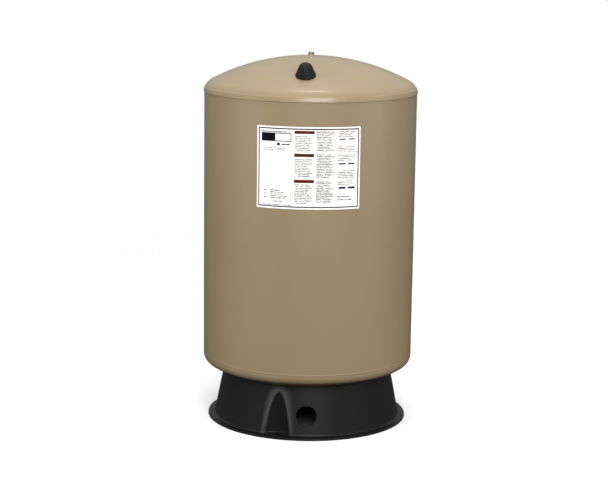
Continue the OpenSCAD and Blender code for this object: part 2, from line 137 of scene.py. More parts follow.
def section(bm, points):
    """A closed half section as vertices and edges in the XZ plane."""
    verts = [bm.verts.new((max(x, 0.0) * MM, 0.0, z * MM)) for x, z in points]
    return verts + [bm.edges.new(pair) for pair in zip(verts, verts[1:] + verts[:1])]


print("tools: arc, line, section")

# %% [markdown]
# One wedge of the turn is spun first and then repeated, which is much faster
# than one long spin. Points that meet on the axis or at the last wedge are
# merged before the faces are turned outwards, or the shape could end up
# inside out.

# %% Spinning
WEDGES = 12
SAME_POINT, SLIVER = 0.5e-6, 0.2e-6
ROUND_Z = {"cent": (0, 0, 0), "axis": (0, 0, 1)}


def spun(points, steps=288):
    """A bmesh turned once round the Z axis from a closed half section."""
    bm = bmesh.new()
    wedge = 2 * pi / WEDGES
    bmesh.ops.spin(bm, geom=section(bm, points), angle=wedge, steps=steps // WEDGES,
                   use_merge=False, **ROUND_Z)
    bmesh.ops.spin(bm, geom=bm.verts[:] + bm.edges[:] + bm.faces[:], angle=2 * pi - wedge,
                   steps=WEDGES - 1, use_duplicate=True, **ROUND_Z)
    bmesh.ops.remove_doubles(bm, verts=bm.verts, dist=SAME_POINT)
    bmesh.ops.dissolve_degenerate(bm, edges=bm.edges, dist=SLIVER)
    bmesh.ops.recalc_face_normals(bm, faces=bm.faces)
    return bm


def wound(points, rise, count, steps):
    """A closed section that climbs while it turns: count steps, so many a turn."""
    bm = bmesh.new()
    bmesh.ops.spin(bm, geom=section(bm, points), dvec=(0, 0, rise * MM),
                   angle=2 * pi * count / steps, steps=count, **ROUND_Z)
    bmesh.ops.holes_fill(bm, edges=[e for e in bm.edges if e.is_boundary], sides=len(points))
    bmesh.ops.recalc_face_normals(bm, faces=bm.faces)
    return bm


print("tools: spun, wound")

# %% [markdown]
# Flats, flutes and pockets are all made the same way: the piece is spun
# round, and then some of its points are moved straight in to the axis. These
# helpers say where a point is round the axis, and move it.

# %% Points round the axis
def reach_of(vert):
    """Distance of a vertex from the Z axis, in millimetres."""
    return hypot(vert.co.x, vert.co.y) / MM


def turn_of(vert):
    """Direction of a vertex from the Z axis, as an angle."""
    return atan2(vert.co.y, vert.co.x)


def pull(vert, share):
    """Moves a vertex to a share of its distance from the Z axis."""
    vert.co.x *= share
    vert.co.y *= share


def joined(*parts):
    """Several bmeshes as one."""
    whole = parts[0]
    for part in parts[1:]:
        mesh = bpy.data.meshes.new("part")
        part.to_mesh(mesh)
        part.free()
        whole.from_mesh(mesh)
        bpy.data.meshes.remove(mesh)
    return whole


print("tools: reach_of, turn_of, pull, joined")

# %% [markdown]
# A bmesh is shaped to the end before it becomes an object, so every object
# stays at the origin, unturned. Smooth shading hides the facets, and edges
# sharper than an angle stay crisp.

# %% Finishing a piece
SHARP, CRISP = 35.0, 25.0


def as_object(name, bm):
    """A bmesh as an object of the scene."""
    mesh = bpy.data.meshes.new(name)
    bm.to_mesh(mesh)
    bm.free()
    made = bpy.data.objects.new(name, mesh)
    scene.collection.objects.link(made)
    return made


def piece(name, bm, body, replaces=(), sharp=SHARP):
    """A bmesh becomes a named object that rides on a body of the frame."""
    made = as_object(name, bm)
    made.data.shade_smooth()
    made.data.set_sharp_from_angle(angle=radians(sharp))
    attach(made, body)
    if replaces:
        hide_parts(*replaces)
    print(f"{name}: {len(made.data.polygons)} faces on {body}")
    return made


print("tools: as_object, piece")

# %% [markdown]
# ## Shader maths
#
# A wire is a socket of a node tree that can be added, multiplied and compared
# like a number, so that a pattern reads as one line of Python. Every other
# node is made through one method, and a finish is a material that has it.

# %% Wires and nodes
class Wire:
    """A socket of a node tree, with the operators that a pattern needs."""

    def __init__(self, owner, socket):
        self.owner, self.socket = owner, socket

    def __add__(self, other):
        return self.owner.maths("ADD", self, other)

    def __sub__(self, other):
        return self.owner.maths("SUBTRACT", self, other)

    def __rsub__(self, other):
        return self.owner.maths("SUBTRACT", other, self)

    def __mul__(self, other):
        return self.owner.maths("MULTIPLY", self, other)

    def __truediv__(self, other):
        return self.owner.maths("DIVIDE", self, other)

    def __gt__(self, other):
        return self.owner.maths("GREATER_THAN", self, other)

    def __lt__(self, other):
        return self.owner.maths("LESS_THAN", self, other)

    __radd__, __rmul__ = __add__, __mul__


class Nodes:
    """A node tree in which one method makes every node."""

    def __init__(self, tree):
        self.tree = tree

    def feed(self, node, inputs):
        """Links or sets a node's inputs."""
        for key, value in inputs.items():
            if isinstance(value, Wire):
                self.tree.links.new(value.socket, node.inputs[key])
            else:
                node.inputs[key].default_value = value

    def node(self, kind, inputs=None, output=0, **settings):
        """Any node: its type, its inputs, the output wanted, and its settings."""
        made = self.tree.nodes.new(kind)
        for key, value in settings.items():
            setattr(made, key, value)
        self.feed(made, inputs or {})
        return Wire(self, made.outputs[output])

    def maths(self, operation, first, second=0.0):
        """One operation on wires and numbers."""
        return self.node("ShaderNodeMath", {0: first, 1: second}, operation=operation)

    def axis(self, coordinates, letter):
        """The X, Y or Z of a wire that carries coordinates."""
        return self.node("ShaderNodeSeparateXYZ", {0: coordinates}, output=letter)


print("tools: Wire, Nodes")

# %% [markdown]
# Colours are read off a screen, where the numbers are bent to suit the eye,
# so each is made linear first. A finish holds one material. Its noise is in
# the object's own space, so it stays on the piece when the piece moves.

# %% Colours and finishes
def paint(red, green, blue):
    """A colour as read off a screen, 0 to 255, made linear."""
    def linear(level):
        level /= 255.0
        return level / 12.92 if level <= 0.04045 else ((level + 0.055) / 1.055) ** 2.4
    return (linear(red), linear(green), linear(blue), 1.0)


class Finish(Nodes):
    """A procedural material, with its own node tree and shader."""

    def __init__(self, name, colour, roughness, metallic=0.0, **constants):
        self.material = bpy.data.materials.new(name)
        self.material.use_nodes = True
        super().__init__(self.material.node_tree)
        self.shader = self.tree.nodes["Principled BSDF"]
        self.set({"Base Color": colour, "Roughness": roughness, "Metallic": metallic})
        self.set({key.replace("_", " "): value for key, value in constants.items()})

    def set(self, inputs):
        """Feeds the finish's own shader."""
        self.feed(self.shader, inputs)

    def place(self):
        """Where a point is on the object, in metres."""
        return self.node("ShaderNodeTexCoord", output="Object")

    def noise(self, scale, detail=2.0, stretch=(1.0, 1.0, 1.0)):
        """Noise in the object's own space, with a scale in bumps a metre."""
        turned = self.node("ShaderNodeMapping", {"Vector": self.place(), "Scale": stretch})
        return self.node("ShaderNodeTexNoise", {"Vector": turned, "Scale": scale,
                                                "Detail": detail})

    def blend(self, factor, first, second):
        """One colour over another, where the factor says."""
        return self.node("ShaderNodeMix", {0: factor, 6: first, 7: second}, output=2,
                         data_type="RGBA")

    def bump(self, height, distance):
        """Relief of a height wire, in metres at a height of one."""
        self.set({"Normal": self.node("ShaderNodeBump", {"Height": height, "Strength": 1.0,
                                                         "Distance": distance})})

    def on(self, *pieces):
        """Puts the finish on pieces or nodes, in place of what they had."""
        for each in pieces:
            each.data.materials.clear()
            each.data.materials.append(self.material)


print("middle grey in linear light:", [round(v, 3) for v in paint(128, 128, 128)])

# %% [markdown]
# ## The enamel
#
# The vessel is blasted, welded, and sprayed with a tan enamel that dries half
# glossy. Up close it has orange peel; from afar the coat is a little thicker
# here and thinner there, which shows as soft clouds of tone. Noise at two
# scales does both: colour for the clouds, bump for the peel.

# %% Tank enamel
ENAMEL, THIN_COAT, THICK_COAT = paint(136, 119, 92), paint(129, 113, 86), paint(143, 126, 99)
CLOUDS, CLOUD_STRETCH, GLOSS_CLOUDS = 5.0, (1.0, 1.0, 0.45), 14.0
PEEL, PEEL_DEPTH = 520.0, 0.00003


def tank_enamel(name):
    """The enamel without its relief, which differs from sheet to weld."""
    finish = Finish(name, ENAMEL, 0.36, Specular_IOR_Level=0.45,
                    Coat_Weight=0.2, Coat_Roughness=0.14, Coat_IOR=1.4)
    clouds = finish.noise(CLOUDS, 3.0, CLOUD_STRETCH)
    finish.set({"Base Color": finish.blend(clouds, THIN_COAT, THICK_COAT),
                "Roughness": 0.31 + 0.1 * finish.noise(GLOSS_CLOUDS)})
    return finish


enamel = tank_enamel("tank_enamel")
enamel.bump(enamel.noise(PEEL, 1.0), PEEL_DEPTH)
print("finish:", enamel.material.name)

# %% [markdown]
# ## The vessel
#
# Two dished heads and a rolled shell. The upper head laps over the shell with
# a small step, the joggle, and the lower head is butted to it with a weld.
# Each is one closed half section with both of the sheet's skins, spun round.
# The lapped band bulges a little, which is what catches the light.

# %% Upper head
EDGE = 0.6
BAND_ROUND, BAND_FROM, BAND_TO = 57.0, 18, 6
knuckle_x = TANK_R - UPPER_KNUCKLE
upper_lean = 90 - degrees(asin(knuckle_x / (UPPER_CROWN - UPPER_KNUCKLE)))
band_top = HIGH_TANGENT + LAP_H
joggle_z = band_top + JOGGLE
joggle_x = knuckle_x + sqrt((UPPER_KNUCKLE + JOGGLE) ** 2 - (joggle_z - HIGH_TANGENT) ** 2)
joggle_turn = degrees(atan2(joggle_z - HIGH_TANGENT, joggle_x - knuckle_x))
inner_step = degrees(asin((LAP_H - SHEET) / (UPPER_KNUCKLE - SHEET)))

upper_head_section = (
    arc(0, UPPER_CENTRE, UPPER_CROWN, 90, upper_lean, 48)
    + arc(knuckle_x, HIGH_TANGENT, UPPER_KNUCKLE, upper_lean, joggle_turn, 14)[1:]
    + arc(joggle_x, joggle_z, JOGGLE, 180 + joggle_turn, 270, 6)[1:]
    + arc(LAP_R - BAND_ROUND * cos(radians(BAND_TO)),
          HIGH_TANGENT + EDGE - BAND_ROUND * sin(radians(BAND_TO)),
          BAND_ROUND, BAND_FROM, BAND_TO, 12)
    + arc(LAP_R - EDGE, HIGH_TANGENT + EDGE, EDGE, 0, -90, 4)[1:]
    + [(LAP_IN, HIGH_TANGENT), (LAP_IN, band_top - SHEET)]
    + arc(knuckle_x, HIGH_TANGENT, UPPER_KNUCKLE - SHEET, inner_step, upper_lean, 12)
    + arc(0, UPPER_CENTRE, UPPER_CROWN - SHEET, upper_lean, 90, 24)[1:]
)
upper_head = piece("dome_head", spun(upper_head_section), "vessel", ["upper_head"])
enamel.on(upper_head)

# %% [markdown]
# The shell is a plain ring of sheet. Its edge and the lower head's stop short
# of the seam, and leave the room that the weld fills: wide outside, narrow at
# the root. The lower head has a hole at its pole for the water fitting.

# %% Shell and lower head
BEAD_HALF, ROOT_HALF = 3.0, 0.6
SHELL_TOP = band_top - SHEET - 1
SPOUT_R = 20.05
shell_section = (
    line((TANK_R, SEAM_Z + BEAD_HALF), (TANK_R, SHELL_TOP), 8)
    + line((TANK_R - SHEET, SHELL_TOP), (TANK_R - SHEET, SEAM_Z + ROOT_HALF), 8)
)
shell = piece("shell_wall", spun(shell_section), "vessel", ["shell"])

foot_x = TANK_R - LOWER_KNUCKLE
lower_lean = degrees(asin(foot_x / (LOWER_CROWN - LOWER_KNUCKLE))) - 90
spout_edge = degrees(asin(SPOUT_R / LOWER_CROWN)) - 90
lower_head_section = (
    [(TANK_R, SEAM_Z - BEAD_HALF)]
    + arc(foot_x, LOW_TANGENT, LOWER_KNUCKLE, 0, lower_lean, 18)
    + arc(0, LOWER_CENTRE, LOWER_CROWN, lower_lean, spout_edge, 40)[1:]
    + arc(0, LOWER_CENTRE, LOWER_CROWN - SHEET, spout_edge, lower_lean, 24)
    + arc(foot_x, LOW_TANGENT, LOWER_KNUCKLE - SHEET, lower_lean, 0, 12)[1:]
    + [(TANK_R - SHEET, SEAM_Z - ROOT_HALF)]
)
lower_head = piece("dished_foot_head", spun(lower_head_section), "vessel",
                   ["lower_head"])
enamel.on(shell, lower_head)

# %% [markdown]
# The lower seam is a weld bead that was laid while the tank turned. Its
# ripples are 2 to 3 mm apart, too many for geometry alone, so the bead is a
# spun crown and the ripples are bump: a sine of the angle round the tank,
# that lags behind at the bead's two edges as a real ripple does.

# %% Lower weld
BEAD_H, WELD_GAP = 0.45, 0.05
RIPPLES, RIPPLE_LAG, RIPPLE_DEPTH, SPATTER = 730.0, 60000.0, 0.00014, 700.0
bead_arc = (BEAD_HALF ** 2 + BEAD_H ** 2) / (2 * BEAD_H)
bead_turn = degrees(asin((BEAD_HALF - WELD_GAP) / bead_arc))
root_half = ROOT_HALF - WELD_GAP
weld_section = (
    arc(TANK_R + BEAD_H - bead_arc, SEAM_Z, bead_arc, -bead_turn, bead_turn, 8)
    + [(TANK_R - SHEET, SEAM_Z + root_half), (TANK_R - SHEET, SEAM_Z - root_half)]
)
weld = piece("girth_weld", spun(weld_section), "vessel", ["seam_weld"])

weld_enamel = tank_enamel("weld_enamel")
x, y, z = [weld_enamel.axis(weld_enamel.place(), letter) for letter in "XYZ"]
off_seam = z - SEAM_Z * MM
lag = off_seam * off_seam * RIPPLE_LAG
ripple = weld_enamel.maths("SINE", weld_enamel.maths("ARCTAN2", y, x) * RIPPLES + lag)
weld_enamel.bump(ripple * 0.5 + weld_enamel.noise(SPATTER) * 0.6, RIPPLE_DEPTH)
weld_enamel.on(weld)

# %% [markdown]
# ## Threads and nuts
#
# A thread is one small triangle spun many times while it climbs: spin takes a
# step along the axis for each step round it, and the ridge runs out at both
# ends. A hexagon is a turned part whose outer skin is pressed in to six
# flats, so its chamfer comes out as the curved edge that a real nut has.

# %% Thread and hexagon
SUNK, ROOT_SHARE, CREST_SHARE = 0.3, 0.42, 0.06
SKIN_SHARE, CORNER_SHARE, HAIR = 0.42, 0.985, 0.001


def screw_thread(radius, depth, pitch, low, high, steps=32):
    """A closed ridge that climbs from low to high; a negative depth points inwards."""
    root, crest = radius - SUNK * (1 if depth > 0 else -1), radius + depth
    tooth = [(root, low - ROOT_SHARE * pitch), (crest, low - CREST_SHARE * pitch),
             (crest, low + CREST_SHARE * pitch), (root, low + ROOT_SHARE * pitch)]
    bm = wound(tooth, pitch / steps, ceil((high - low) / pitch * steps), steps)
    for vert in bm.verts:
        height, here = vert.co.z / MM, reach_of(vert)
        fade = max(0.0, min(1.0, min(height - low, high - height) / pitch + 0.5))
        pull(vert, (root + (here - root) * fade) / here)
    return bm


def corner_of(flats):
    """Radius of a hexagon's corners from its width across the flats."""
    return flats / 2 / cos(radians(30))


def hexed(bm, flats, low, high):
    """Presses the outer skin between two heights in to six flats."""
    for vert in bm.verts:
        here = reach_of(vert)
        if low - HAIR <= vert.co.z / MM <= high + HAIR and here > SKIN_SHARE * flats:
            turn = (degrees(turn_of(vert)) + 360) % 60 - 30
            limit = min(flats / 2 / cos(radians(turn)), corner_of(flats) * CORNER_SHARE)
            pull(vert, min(here, limit) / here)


print("tools: screw_thread, hexed")

# %% [markdown]
# The lifting nut stands on the very top, held by a small ring of weld. It is
# turned from the section of a chamfered nut, pressed to a hexagon, and gets
# an inside thread.

# %% Lifting nut
NUT_FLATS, NUT_H, NUT_HOLE, NUT_PITCH = 15.0, 10.0, 4.25, 1.5
NUT_WELD_R, CHAMFER, BREAK = 2.2, 1.6, 0.6
nut_z = APEX + 0.01


def nut_section(flats, low, high, bore):
    """Half section of a nut with turned chamfers at both faces and the bore."""
    corner = corner_of(flats) + 0.2
    drop = CHAMFER * tan(radians(30))
    return (
        [(bore, low + BREAK), (bore + BREAK, low), (corner - CHAMFER, low)]
        + line((corner - CHAMFER, low), (corner, low + drop), 5)[1:]
        + line((corner, low + drop), (corner, high - drop), 4)[1:]
        + line((corner, high - drop), (corner - CHAMFER, high), 5)[1:]
        + [(bore + BREAK, high), (bore, high - BREAK)]
    )


nut = spun(nut_section(NUT_FLATS, nut_z, nut_z + NUT_H, NUT_HOLE), 96)
hexed(nut, NUT_FLATS, nut_z, nut_z + NUT_H)
nut = joined(nut, screw_thread(NUT_HOLE + 0.05, -0.45, NUT_PITCH, nut_z + 1.0,
                               nut_z + NUT_H - 1.0))
lifting_nut = piece("lift_nut", nut, "vessel", ["lifting_nut"], CRISP)

ring_x, ring_z = corner_of(NUT_FLATS) - 0.6, nut_z - 0.3
weld_ring = spun(arc(ring_x, ring_z, NUT_WELD_R, 0, 100, 6) + [(ring_x - 1.8, ring_z)], 96)
nut_weld = piece("lift_nut_weld", weld_ring, "vessel")

# %% [markdown]
# ## Metals
#
# The nut is steel with a thin grey green coat of overspray from the enamel.
# Brass goes darker and lighter with its grain. The water fittings are stainless
# steel, brushed in fine rings, and the clench ring is zinc plated. All four
# are one recipe: a grain that moves both the tone and the roughness.

# %% Metal finishes
GRAIN_DEPTH = 0.00002


def metal(name, dark, light, roughness, metallic=1.0, scale=120.0, stretch=(1, 1, 1)):
    """A metal with a grain between two tones."""
    finish = Finish(name, light, roughness, metallic)
    grain = finish.noise(scale, 3.0, stretch)
    finish.set({"Base Color": finish.blend(grain, dark, light),
                "Roughness": roughness - 0.06 + 0.14 * grain})
    finish.bump(grain, GRAIN_DEPTH)
    return finish


oversprayed = metal("oversprayed_steel", paint(104, 98, 78), paint(150, 144, 122), 0.4, 0.55)
brass = metal("valve_brass", paint(168, 130, 66), paint(214, 178, 104), 0.27)
stainless = metal("brushed_stainless", paint(150, 150, 148), paint(196, 196, 193), 0.3,
                  1.0, 60.0, (1, 1, 14))
zinc = metal("zinc_plate", paint(150, 148, 138), paint(190, 188, 178), 0.36)
oversprayed.on(lifting_nut)
nut_weld_enamel = tank_enamel("nut_weld_enamel")
nut_weld_enamel.bump(nut_weld_enamel.noise(420.0, 2.0), 0.0006)
nut_weld_enamel.on(nut_weld)
print("metals:", ", ".join(each.material.name for each in (oversprayed, brass, stainless, zinc)))

# %% [markdown]
# ## The air valve
#
# It stands square on the dome, leaning towards the front. Its pieces are made
# upright at the origin, in millimetres above the head, and then one matrix
# takes them to their place in the mesh itself.

# %% Valve axis
VALVE_INSET, VALVE_TURN = 91.3, radians(-3.9)
VALVE_TILT = asin((TANK_R - VALVE_INSET) / UPPER_CROWN)
at_valve = (
    Matrix.Translation((0, 0, UPPER_CENTRE * MM))
    @ Matrix.Rotation(VALVE_TURN, 4, "Z")
    @ Matrix.Rotation(VALVE_TILT, 4, "X")
    @ Matrix.Translation((0, 0, UPPER_CROWN * MM))
)


def on_valve(bm):
    """Takes an upright bmesh to the valve's place."""
    bmesh.ops.transform(bm, matrix=at_valve, space=Matrix.Identity(4), verts=bm.verts)
    return bm


# %% [markdown]
# The body is one brass turning: a stem that is screwed into the boss, a
# hexagon with a bevel at both faces, and a threaded neck that the cap screws
# on. The bore steps in at the bottom, where the core's barrel sits.

# %% Valve body
HEX_FLATS, SHOULDER, HEX_TOP, NECK_TOP = 19.0, 6.05, 12.05, 25.05
STEM_R, STEM_FOOT, BORE_R, CORE_R, CORE_Z = 6, -8, 1.8, 2.7, 6.45
HEX_R, HEX_FACE, BEVEL = 11.2, 9.5, 0.9
NECK_R, THREAD_R, NECK_PITCH = 3.8, 3.45, 0.8
stem_section = (
    [(BORE_R, STEM_FOOT), (STEM_R, STEM_FOOT), (STEM_R, SHOULDER), (8.4, SHOULDER)]
    + line((HEX_FACE, SHOULDER), (HEX_R, SHOULDER + BEVEL), 4)
    + line((HEX_R, SHOULDER + BEVEL), (HEX_R, HEX_TOP - BEVEL), 3)[1:]
    + line((HEX_R, HEX_TOP - BEVEL), (HEX_FACE, HEX_TOP), 4)[1:]
    + [(NECK_R + 0.6, HEX_TOP)]
    + arc(NECK_R + 0.6, HEX_TOP + 0.6, 0.6, 270, 180, 3)[1:]
    + [(NECK_R, 13.2), (THREAD_R, 13.4), (THREAD_R, NECK_TOP - 0.85)]
    + arc(THREAD_R - 0.45, NECK_TOP - 0.45, 0.45, 0, 90, 3)
    + [(CORE_R, NECK_TOP), (CORE_R, CORE_Z), (BORE_R, CORE_Z)]
)
stem = spun(stem_section, 96)
hexed(stem, HEX_FLATS, SHOULDER, HEX_TOP)
stem = joined(stem, screw_thread(THREAD_R, 0.4, NECK_PITCH, 14.2, NECK_TOP - 1.2))
valve_stem = piece("valve_stem", on_valve(stem), "vessel", ["valve_body"], CRISP)
brass.on(valve_stem, nodes["core_barrel"], nodes["core_pin"])

# %% [markdown]
# The spring under the pin's head is a round wire wound five times.

# %% Core spring
WIRE_R, COIL_R, COIL_Z, COIL_RISE = 0.22, 1.4, 20.85, 2.8
SPRING_TURNS, SPRING_STEPS = 5.2, 24
spin_count = ceil(SPRING_TURNS * SPRING_STEPS)
coil = wound(arc(COIL_R, COIL_Z, WIRE_R, 0, 330, 11), COIL_RISE / spin_count, spin_count,
             SPRING_STEPS)
core_spring = piece("core_spring_coil", on_valve(coil), "vessel",
                    ["core_spring"], 60)
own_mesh(core_spring)
stainless.on(core_spring)

# %% [markdown]
# The cap is turned brass with flutes to grip. Every sixth step of the spin is
# pressed in deep and its two neighbours less, which makes 24 flutes.

# %% Valve cap
CAP_LOW, CAP_TOP, CAP_R, CAP_ROOF, CAP_BORE = 12.35, 27.75, 6.0, 26.05, 3.95
CAP_STEPS, FLUTES = 144, 24
FLUTE_DEPTHS = {0: 0.38, 1: 0.24, 5: 0.24}
cap_section = (
    [(CAP_BORE, CAP_LOW + 0.4), (CAP_BORE + 0.4, CAP_LOW), (5.5, CAP_LOW), (CAP_R, CAP_LOW + 0.5)]
    + line((CAP_R, CAP_LOW + 2.4), (CAP_R, CAP_TOP - 3.0), 4)
    + [(CAP_R, CAP_TOP - 1.0)]
    + arc(CAP_R - 0.9, CAP_TOP - 0.9, 0.9, 0, 90, 5)[1:]
    + [(2.6, CAP_TOP), (2.3, CAP_TOP - 0.3), (0, CAP_TOP - 0.3),
       (0, CAP_ROOF), (CAP_BORE, CAP_ROOF)]
)
cap = spun(cap_section, CAP_STEPS)
for vert in cap.verts:
    step = round(degrees(turn_of(vert)) / (360 / CAP_STEPS)) % (CAP_STEPS // FLUTES)
    on_side = CAP_LOW + 2.0 < vert.co.z / MM < CAP_TOP - 2.8 and reach_of(vert) > CAP_R - 0.1
    if on_side and step in FLUTE_DEPTHS:
        pull(vert, (CAP_R - FLUTE_DEPTHS[step]) / CAP_R)
valve_cap = piece("fluted_cap", on_valve(cap), "cap", ["valve_cap"], CRISP)
brass.on(valve_cap)

# %% [markdown]
# ## The valve cover
#
# A bell of black plastic that pushes on over the valve. Its foot follows the
# dome, its side leans in to a round top. Under it a grip of four webs holds
# the valve's hexagon, which shows when the cover is lifted off.

# %% Valve cover
COVER_R, COVER_TOP, COVER_LEAN, COVER_ROUND = 28.5, 36.85, 22.0, 14.0
RIM_H, COVER_T, COVER_GAP, FOOT_BREAK = 3.0, 2.0, 0.25, 0.5
lean_sin, lean_cos = sin(radians(COVER_LEAN)), cos(radians(COVER_LEAN))
round_z = COVER_TOP - COVER_ROUND
round_x = COVER_R - (COVER_ROUND + (round_z - RIM_H) * lean_sin) / lean_cos


def dome_drop(x):
    """Height of the cover's foot, which stands a hair off the dome."""
    return sqrt((UPPER_CROWN + COVER_GAP) ** 2 - x * x) - UPPER_CROWN


def bell_side(inset, rim_round, steps):
    """The bell's side from its rim up to its top, set in by a wall."""
    rim_x = COVER_R - inset
    half_lean = tan(radians(COVER_LEAN / 2))
    return (
        [(rim_x, dome_drop(rim_x) + (FOOT_BREAK if inset == 0 else 0.0))]
        + arc(rim_x - rim_round, RIM_H - inset * half_lean - rim_round * half_lean,
              rim_round, 0, COVER_LEAN, 5)
        + arc(round_x, round_z, COVER_ROUND - inset, COVER_LEAN, 90, steps)
    )


bell_section = (
    [(COVER_R - FOOT_BREAK, dome_drop(COVER_R - FOOT_BREAK))]
    + bell_side(0.0, 10.0, 20) + [(0, COVER_TOP)]
    + [(0, COVER_TOP - COVER_T)] + bell_side(COVER_T, 8.0, 12)[::-1]
)
bell = spun(bell_section, 120)
print(f"bell: top arc starts {round_x:.2f} mm off the axis")

# %% [markdown]
# The grip is a ring round the hexagon. Four webs tie it to the bell, each a
# cube whose corners are set one by one to follow the leaning wall.

# %% Grip and webs
GRIP_LOW, GRIP_HIGH, GRIP_IN, WEB = 6.55, 19.55, 11.12, 1.6
grip = spun([(GRIP_IN, GRIP_LOW), (GRIP_IN + WEB, GRIP_LOW), (GRIP_IN + WEB, GRIP_HIGH),
             (GRIP_IN, GRIP_HIGH)], 96)
for quarter in range(4):
    web = bmesh.ops.create_cube(grip, size=1.0)["verts"]
    for vert in web:
        height = GRIP_HIGH if vert.co.z > 0 else GRIP_LOW
        wall = COVER_R - COVER_T / 2 - (height - RIM_H) * tan(radians(COVER_LEAN))
        out = wall if vert.co.x > 0 else GRIP_IN + WEB / 2
        vert.co = Vector((out * MM, vert.co.y * WEB * MM, height * MM))
    bmesh.ops.rotate(grip, verts=web, cent=(0, 0, 0),
                     matrix=Matrix.Rotation(radians(45 + 90 * quarter), 3, "Z"))
valve_cover = piece("bell_cover", on_valve(joined(bell, grip)), "cover",
                    ["valve_cover"])

# %% [markdown]
# ## Plastics and rubber
#
# All are one recipe: a base whose tone drifts a little. The cover is moulded
# smooth, so its round top keeps a soft shine. The stand is a tougher, duller
# plastic with the faint grain of its steel mould. Along the lips of its pockets
# it has a painted highlight, as much as an attribute of its mesh says.

# %% Plastic finishes
def drifting(name, base, dark, light, roughness, scale, detail=2.0, **constants):
    """A finish whose tone drifts between two colours, and the noise behind it."""
    finish = Finish(name, base, roughness, **constants)
    drift = finish.noise(scale, detail)
    finish.set({"Base Color": finish.blend(drift, dark, light)})
    return finish, drift


cover_plastic, speck = drifting("cover_plastic", paint(27, 27, 28), paint(25, 25, 26),
                                paint(30, 30, 31), 0.45, 900.0, Specular_IOR_Level=0.12)
cover_plastic.set({"Roughness": 0.42 + 0.1 * speck})
cover_plastic.bump(speck, GRAIN_DEPTH)
cover_plastic.on(valve_cover)

stand_plastic = Finish("stand_plastic", paint(19, 19, 20), 0.42, Specular_IOR_Level=0.2)
mould = stand_plastic.noise(640.0, 3.0)
flow = stand_plastic.noise(9.0, 2.0, (1.0, 1.0, 0.3))
# Painted highlight: the attribute makes the pockets' lips paler, as if lit.
painted_lip_highlight = stand_plastic.node("ShaderNodeAttribute", output="Fac", attribute_name="lip_highlight")
black = stand_plastic.blend(flow, paint(17, 17, 18), paint(22, 22, 22))
stand_plastic.set({
    "Base Color": stand_plastic.blend(painted_lip_highlight, black, paint(70, 70, 70)),
    "Roughness": 0.36 + 0.12 * flow + 0.06 * mould,
})
stand_plastic.bump(mould, 0.00004)
print("finishes:", cover_plastic.material.name, stand_plastic.material.name)

# %% [markdown]
# ## The stand
#
# This is the feature that takes the most skill: one moulding with a foot
# flange, a wall that leans in, and a seat that carries the lower head. Three
# pockets are pressed into the wall for the anchor bolts. A boolean would
# leave their mouths knife sharp, but a mould has round lips, so the section
# is spun with a straight wall first, and then every wall point is moved
# inwards to the nearer of wall and pocket, by a smooth minimum.

# %% Stand sizes
RIM_R = TANK_R - 14.7
FLANGE_T, FLANGE_EDGE, FLANGE_BLEND = 6.0, 2.5, 7.0
FOOT_R = RIM_R - 19.0
WALL_LEAN, STAND_T = radians(11.0), 4.0
SEAT_R, SEAT_T, SEAT_W = LOWER_CROWN + 0.2, 5.0, 20.0
POCKET_R, POCKET_DEPTH = 50.0, 24.0
POCKET_RING = FOOT_R + POCKET_R - POCKET_DEPTH
POCKET_TURNS = [radians(-90 - 18.2 + 120 * k) for k in range(3)]
HOLE_Z, HOLE_R = POLE - 37.0, 29.0
ANCHOR_RING, ANCHOR_R = (FOOT_R - POCKET_DEPTH + RIM_R) / 2, 6.5


def wall_at(height):
    """Outer radius of the straight wall at a height."""
    return FOOT_R - (height - FLANGE_T) * tan(WALL_LEAN)


def seat_at(radius, under=0.0):
    """Height of the seat's top under the lower head, at a radius."""
    return LOWER_CENTRE - sqrt((SEAT_R + under) ** 2 - radius * radius)


wall_inset = STAND_T / cos(WALL_LEAN)
top_r = next(r / 10 for r in range(2750, 2200, -1) if wall_at(seat_at(r / 10)) >= r / 10)
print(f"stand: rim {RIM_R:.1f}, wall foot {FOOT_R:.1f}, top {top_r:.1f} at {seat_at(top_r):.1f}")

# %% [markdown]
# The section runs up the outside, round the seat and down the inside. The
# outer wall has many points, because the pockets are pressed into it.

# %% Stand section
blend_x = FOOT_R + FLANGE_BLEND * (1 - sin(WALL_LEAN)) / cos(WALL_LEAN)
blend_z = FLANGE_T + FLANGE_BLEND
blend_top = blend_z - FLANGE_BLEND * sin(WALL_LEAN)
flat_r = RIM_R - FLANGE_EDGE
wall_top = seat_at(top_r) - 2.2
lip_r = wall_at(wall_top) - 0.7
seat_out = wall_at(wall_top) - 2.1
seat_in = wall_at(LOW_TANGENT - LOWER_KNUCKLE) - STAND_T - SEAT_W
under_z = seat_at(239.0, SEAT_T)

outer_skin = (
    [(RIM_R - 0.6, 0), (RIM_R, 0.6), (RIM_R, FLANGE_T - FLANGE_EDGE)]
    + arc(flat_r, FLANGE_T - FLANGE_EDGE, FLANGE_EDGE, 0, 90, 5)[1:]
    + line((flat_r, FLANGE_T), (blend_x, FLANGE_T), 4)[1:]
    + arc(blend_x, blend_z, FLANGE_BLEND, 270, 180 + degrees(WALL_LEAN), 6)[1:]
    + line((wall_at(blend_top), blend_top), (wall_at(wall_top), wall_top), 50)[1:]
)
seat_skin = (
    [(lip_r, seat_at(lip_r) - 0.9)]
    + [(r, seat_at(r)) for r in (seat_out, 238.0, 232.0, 226.0, 221.0, seat_in + 0.8)]
    + [(seat_in, seat_at(seat_in) - 0.9), (seat_in, seat_at(seat_in, SEAT_T) + 0.9)]
    + [(r, seat_at(r, SEAT_T)) for r in (seat_in + 0.8, 224.0, 230.0, 236.0)]
)
inner_skin = (
    line((wall_at(under_z) - wall_inset, under_z), (wall_at(1) - wall_inset, 1.0), 15)
    + [(wall_at(0) - wall_inset + 0.6, 0)]
)
stand = spun(outer_skin + seat_skin + inner_skin, 900)
print(f"stand: {len(stand.verts)} points before the pockets")

